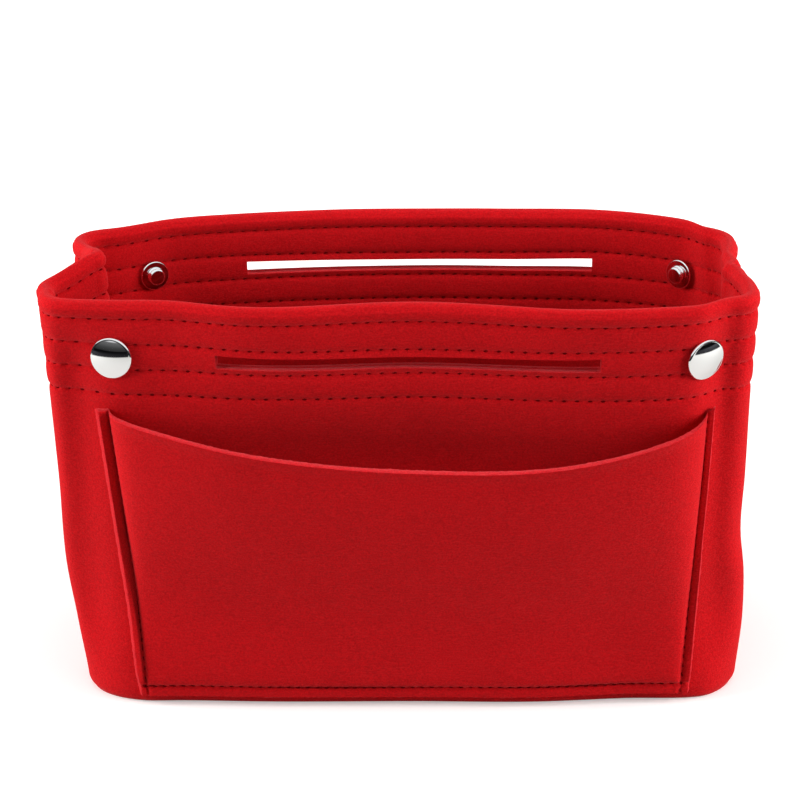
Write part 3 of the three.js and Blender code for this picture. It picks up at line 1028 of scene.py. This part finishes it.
def seam_stitches(work, line, outward):
    along = np.concatenate([[0], np.cumsum(np.linalg.norm(np.diff(line, axis=0), axis=1))])
    count = int(along[-1] / PANEL_STITCH)
    even = np.linspace(0, along[-1], count + 1)
    places = np.column_stack([np.interp(even, along, line[:, i]) for i in range(3)])
    ups = np.column_stack([np.interp(even, along, outward[:, i]) for i in range(3)])
    for i in range(count):
        work.add(places[i], places[i + 1], ups[i], ups[i + 1])


def pocket(form, end, name):
    """A pocket's panel with its seams, on the outer or the inner face of a wall"""
    columns, rows = form["mesh"]
    near, far, across = pocket_faces(form, end, columns, rows)
    panel = [to_world(near, end), to_world(far, end)]
    normals = grid_normals(far)
    if form["inside"]:
        panel = [face[:, ::-1] for face in panel]
        normals = -normals
    # Cut edges take the lighter felt, partly a painted highlight
    # Inner pockets take the darker copy of the felt, which is painted shade
    looks = [SHADED_INSIDE_LOOK if form["inside"] else FELT_LOOK, CUT_EDGE_HIGHLIGHT_LOOK]
    obj = felt_panel(f"{name}_panel_felt", *panel, looks)
    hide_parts(name)
    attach(obj, f"{NAME[end]}_body")
    seam = 1 - form["flange"] / form["top_half_width"]
    shares = [-seam, seam] if form["compartments"] == 1 else [-seam, seam, 0.0]
    seams = [int(np.argmin(np.abs(across - share))) for share in shares]
    lines = [(slice(SEAM_ROWS, rows - 1), column) for column in seams]
    lines.append((SEAM_ROWS, slice(seams[0], seams[1] + 1)))
    work = Stitching()
    for line in lines:
        seam_stitches(work, to_world(far[line], end), to_world(normals[line], end))
    for made in work.objects(f"{name}_seam"):
        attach(made, f"{NAME[end]}_body")


for end, form in ((FRONT, POCKET), (REAR, SLACK_POCKET)):
    pocket(form, end, f"{NAME[end]}_pocket")
    pocket(INNER_POCKET, end, f"{NAME[end]}_inner_pocket")

# Base


def base():
    """The base panel, shrunk along Y with the fold as its felt gathers"""
    u = np.arange(0, COLUMNS, 2, dtype=float)
    shares = np.linspace(0, 1, 14)[:, None, None]
    vertices, faces, looks = [], [], []
    for end in (FRONT, REAR):
        inward = on_ring(RING_INWARD[end], u, np.full(u.shape, FOOT))
        edge = on_ring(RING_LINE[end], u, np.full(u.shape, FOOT)) + inward * 1.9 * MM
        edge[[0, -1], 1] = 0
        crease = abs(edge[0, 0])
        middle = np.column_stack([np.linspace(-crease, crease, len(u)), np.zeros(len(u))])
        flat = edge + (middle - edge) * shares
        top, under = (
            np.concatenate([flat, np.full((*flat.shape[:2], 1), level)], axis=2) for level in (FELT, 0.0)
        )
        rim = []
        for level, proud in ((0.0, 0.0), (0.25, 0.35), (1.15, 0.5), (2.05, 0.35), (2.3, 0.0)):
            line = edge - inward * proud * MM
            line[[0, -1]] = edge[[0, -1]]
            rim.append(np.column_stack([line, np.full(len(line), level * MM)]))
        for grid, order, look in ((top, 1, 0), (under, -1, 0), (np.stack(rim), 1, 1)):
            start = sum(map(len, vertices))
            made = grid_faces(*grid.shape[:2], start).reshape(-1, 4)[:, ::order]
            vertices.append(to_world(worn(grid, end), end).reshape(-1, 3))
            faces.append(made)
            looks.append(np.full(len(made), look))
    vertices, faces, looks = np.vstack(vertices), np.vstack(faces), np.concatenate(looks)
    # The base takes the darker copy of the felt, which is painted shade
    obj = mesh_object("base_felt", vertices, faces, [SHADED_INSIDE_LOOK, CUT_EDGE_HIGHLIGHT_LOOK], looks)
    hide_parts("base_panel")
    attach(obj, "rear_body")
    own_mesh(obj)


base()

# Snaps


# Sizes of the turned pieces in millimetres
SOFTENING = 0.25  # radius of their corners
CAP_RADIUS = 6.75
CAP_RISE = 2.7
DOME_RADIUS = 20.5
BEAD = 0.8  # radius of the cap's rolled edge


def rounded(points):
    """Softens the corners of an outline"""
    points = np.array(points, float)
    out = [points[0]]
    for before, here, after in zip(points[:-2], points[1:-1], points[2:]):
        back, ahead = before - here, after - here
        back_length, ahead_length = np.linalg.norm(back), np.linalg.norm(ahead)
        reach = min(SOFTENING, back_length / 2.2, ahead_length / 2.2)
        start = here + back / max(back_length, 1e-9) * reach
        finish = here + ahead / max(ahead_length, 1e-9) * reach
        for t in np.linspace(0, 1, 5):
            out.append((1 - t) ** 2 * start + 2 * t * (1 - t) * here + t * t * finish)
    return np.array([*out, points[-1]])


def turned(name, outline_mm, look, sides=80):
    """A turned piece on +Y from (radius, along) points in millimetres"""
    radius, along = (rounded(outline_mm) * MM).T[..., None]
    angle = np.linspace(0, 2 * math.pi, sides, endpoint=False)
    ring = [radius * np.cos(angle), np.repeat(along, sides, axis=1), radius * np.sin(angle)]
    vertices = np.stack(ring, axis=-1).reshape(-1, 3)
    return mesh_object(name, vertices, tube_faces(len(radius), sides), [look])


def seat_on_wall(obj, end, side):
    """Turns a piece made on +Y to look out of the wall at a snap, as the wall stands there"""
    x, z = np.array([[-5, 0], [5, 0], [0, -5], [0, 5]]).T * MM
    x, z = side * SNAP_X + x, SNAP_LEVEL + z
    left, right, low, high = to_world(worn(skin(end, column_at(end, x, z), z, 0), end), end)
    out = Vector(np.cross(right - left, high - low)).normalized()
    across = out.cross(Vector((0, 0, 1))).normalized()
    turn = Matrix((across, out, across.cross(out))).transposed().to_4x4()
    obj.data.transform(Matrix.Translation(Vector((left + right + low + high) / 4)) @ turn)
    obj.data.update()


def snaps():
    """Caps with their posts, sockets behind the front ones and studs behind the rear ones"""
    back = -(STACK / MM) - 0.3
    across = np.linspace(CAP_RADIUS, 0.001, 22)
    dome = [(r, CAP_RISE - DOME_RADIUS + math.sqrt(DOME_RADIUS**2 - r**2)) for r in across]
    low = dome[0][1] - BEAD
    bead = [(CAP_RADIUS + BEAD * math.sin(t), low + BEAD * math.cos(t)) for t in np.linspace(2.6, 0.33, 12)]
    cap = [(0.001, -0.2), (6.6, -0.2), *bead, *dome]
    post = [(1.8, -0.1), (1.8, back - 1.2), (1.5, back - 1.8), (0.001, back - 1.8)]
    socket = [
        (2.1, back), (2.1, back - 0.8), (3.6, back - 0.8), (3.6, back - 2.9), (3.3, back - 3.2),
        (5.0, back - 3.3), (5.8, back - 2.9), (6.0, back - 2.2), (6.0, back - 0.4), (5.6, back),
        (2.1, back),
    ]
    stud = [
        (2.1, back - 0.05), (5.4, back - 0.02), (5.6, back - 0.45), (5.3, back - 0.9),
        (3.4, back - 0.95), (2.8, back - 1.3), (2.8, back - 1.9), (3.2, back - 2.4),
        (3.2, back - 2.9), (2.6, back - 3.4), (0.001, back - 3.45),
    ]
    for end, mate, behind in ((FRONT, "socket", socket), (REAR, "stud", stud)):
        for side in (-1, 1):
            cap_name = f"{NAME[end]}_cap_{hand(end, side)}"
            mate_name = f"{NAME[end]}_{mate}_{hand(end, side)}"
            dome_piece = turned(f"{cap_name}_dome", cap, CHROME_LOOK)
            post_piece = turned(f"{cap_name}_post", post, STEEL_LOOK, 32)
            mate_piece = turned(f"{mate_name}_ring", behind, CHROME_LOOK)
            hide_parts(cap_name)
            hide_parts(mate_name)
            pieces = ((dome_piece, "snap_chrome"), (post_piece, "snap_steel"), (mate_piece, "snap_chrome"))
            for obj, finish in pieces:
                seat_on_wall(obj, end, side)
                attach(obj, f"{NAME[end]}_body")


snaps()

# Floor, light and world
TABLE_REACH = 0.62  # where the table ends in reflections
FLOOR_LIFT = 0.32  # the table's own light near the object
AMBIENT = (0.15, 0.15, 0.155)


def floor():
    """White table; in reflections it ends in front of the object, where a dark room begins"""
    material, tree, shader, centre = new_material("floor")
    corners = np.array([[-1, -1, 0], [1, -1, 0], [1, 1, 0], [-1, 1, 0]]) * 6.0
    obj = mesh_object("floor", corners, [[0, 1, 2, 3]], [material])
    path = tree.nodes.new("ShaderNodeLightPath")
    place = tree.nodes.new("ShaderNodeSeparateXYZ")
    tree.links.new(centre, place.inputs[0])
    squares = [arithmetic(tree, "MULTIPLY", place.outputs[axis], place.outputs[axis]) for axis in "XY"]
    distance = arithmetic(tree, "SQRT", arithmetic(tree, "ADD", *squares))
    far = ramp(tree, distance, [(TABLE_REACH, 0.0), (TABLE_REACH + 0.06, 1.0)])
    dark = arithmetic(tree, "MULTIPLY", far, path.outputs["Is Glossy Ray"])
    table = mixed(tree, "MIX", path.outputs["Is Camera Ray"], (0.50, 0.495, 0.48), (0.86, 0.85, 0.83))
    table = mixed(tree, "MIX", path.outputs["Is Glossy Ray"], table, (0.70, 0.69, 0.65))
    lift = ramp(tree, distance, [(0.30, FLOOR_LIFT), (0.75, 1.0)])
    wire(tree, shader, {
        "Base Color": mixed(tree, "MIX", dark, table, (0.02, 0.02, 0.022)),
        "Roughness": 0.9,
        "Specular IOR Level": 0.0,
        "Emission Color": (1, 1, 1),
        "Emission Strength": arithmetic(tree, "MULTIPLY", lift, path.outputs["Is Camera Ray"]),
    })


def world():
    """Soft room light; reflections see a dark room with a bright ceiling"""
    made = bpy.data.worlds.new("studio")
    bpy.context.scene.world = made
    made.use_nodes = True
    tree = made.node_tree
    background = tree.nodes["Background"]
    path = tree.nodes.new("ShaderNodeLightPath")
    axes = tree.nodes.new("ShaderNodeSeparateXYZ")
    tree.links.new(tree.nodes.new("ShaderNodeTexCoord").outputs["Generated"], axes.inputs[0])
    greys = [(0.0, 0.03), (0.10, 0.06), (0.20, 0.12), (0.26, 0.14), (0.31, 0.95), (1.0, 1.0)]
    studio = ramp(tree, axes.outputs["Z"], greys)
    ambient = mixed(tree, "MIX", path.outputs["Is Glossy Ray"], AMBIENT, studio)
    colour = mixed(tree, "MIX", path.outputs["Is Camera Ray"], ambient, (1, 1, 1))
    wire(tree, background, {"Color": colour, "Strength": 1.0})


def lamp(name, place, aim, size, energy):
    data = bpy.data.lights.new(name, "AREA")
    data.shape = "RECTANGLE"
    data.size, data.size_y = size
    data.energy = energy
    obj = placed(name, data)
    obj.location = place
    direction = Vector(aim) - Vector(place)
    obj.rotation_euler = direction.to_track_quat("-Z", "Y").to_euler()
    obj.visible_glossy = False


floor()
world()
lamp("left", (-1.20, -0.20, 0.45), (0, 0, 0.08), (0.7, 0.7), 19)
lamp("right", (1.20, -0.22, 0.45), (0, 0, 0.08), (0.7, 0.7), 19)
lamp("top", (0.0, 0.0, 1.30), (0, 0, 0.1), (0.9, 0.6), 7.5)
bpy.context.scene.view_settings.view_transform = "Standard"
